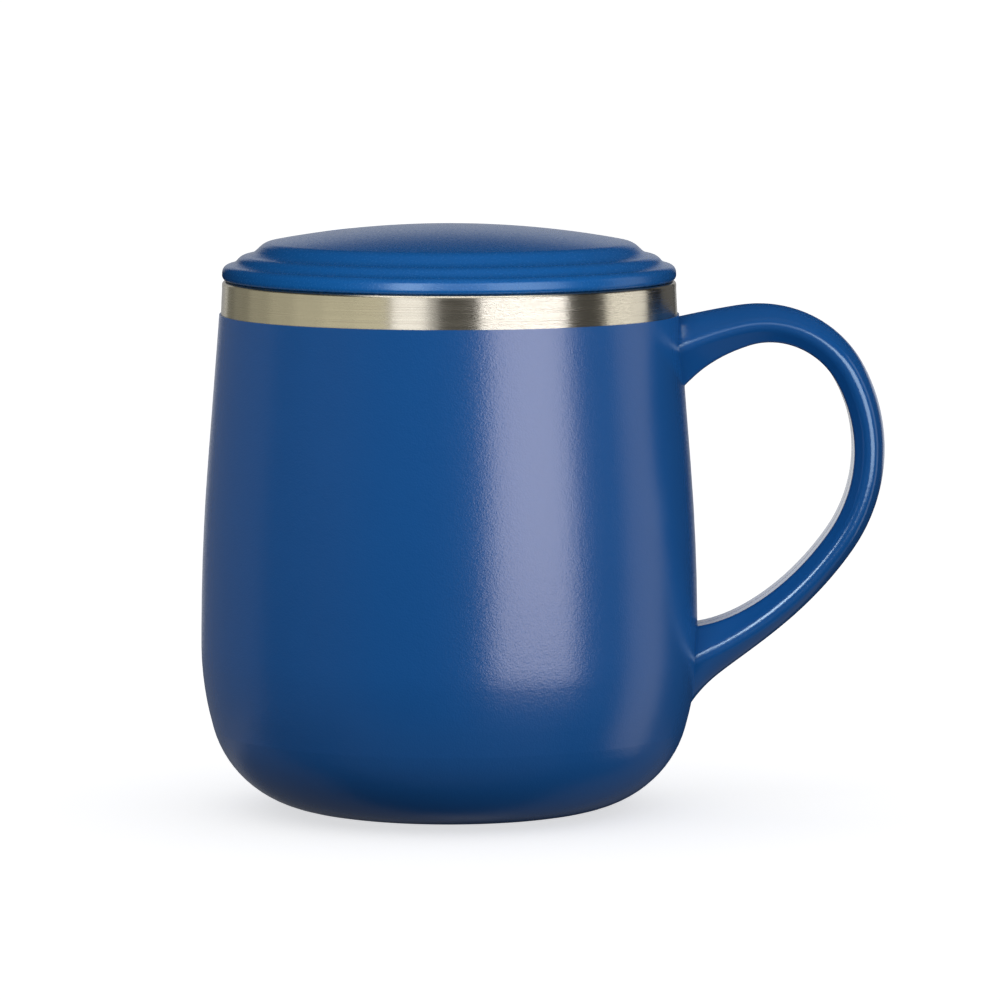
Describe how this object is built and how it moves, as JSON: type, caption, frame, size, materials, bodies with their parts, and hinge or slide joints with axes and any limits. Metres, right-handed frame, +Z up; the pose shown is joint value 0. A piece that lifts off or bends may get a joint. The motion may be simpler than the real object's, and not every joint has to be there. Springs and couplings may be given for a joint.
{
  "type": "double-walled mug",
  "caption": "Double-walled steel drinking mug with a coated barrel body, bare brushed rim band, hollow strap handle and a loose stepped lid with a silicone seal.",
  "frame": {"origin": "on the mug's axis, on the plane of the foot ring that it stands on", "axes": "+Z up along the mug's axis, +X towards the handle, so azimuth 0 looks along +Y with the handle to the right"},
  "size_m": [0.1211, 0.088, 0.1035],
  "materials": {
    "bare_steel": "brushed round the band",
    "blue_coat": "fine-textured satin powder coat",
    "coated_steel": "steel with the same satin powder coat",
    "lid_plastic": "moulded, fine satin",
    "silicone": "translucent grey silicone",
    "seal_glass": "solder glass",
    "getter_metal": "sintered pellet"
  },
  "bodies": {
    "mug": {"inner_cup": "bare_steel", "outer_shell": "bare_steel", "powder_coat": "blue_coat", "outer_bottom": "bare_steel", "port_seal": "seal_glass", "bottom_cover": "bare_steel", "getter": "getter_metal", "handle_front_half": "coated_steel", "handle_back_half": "coated_steel"},
    "seal": {"lid_seal": "silicone"},
    "lid": {"lid_cover": "lid_plastic"}
  },
  "joints": [
    {"name": "lid_lift", "type": "slide", "parent": "mug", "child": "seal", "axis": [0, 0, 1], "range_m": [0, 0.06]},
    {"name": "lid_turn", "type": "hinge", "parent": "seal", "child": "lid", "pos_m": [0, 0, 0.09], "axis": [0, 0, 1], "continuous": true}
  ]
}
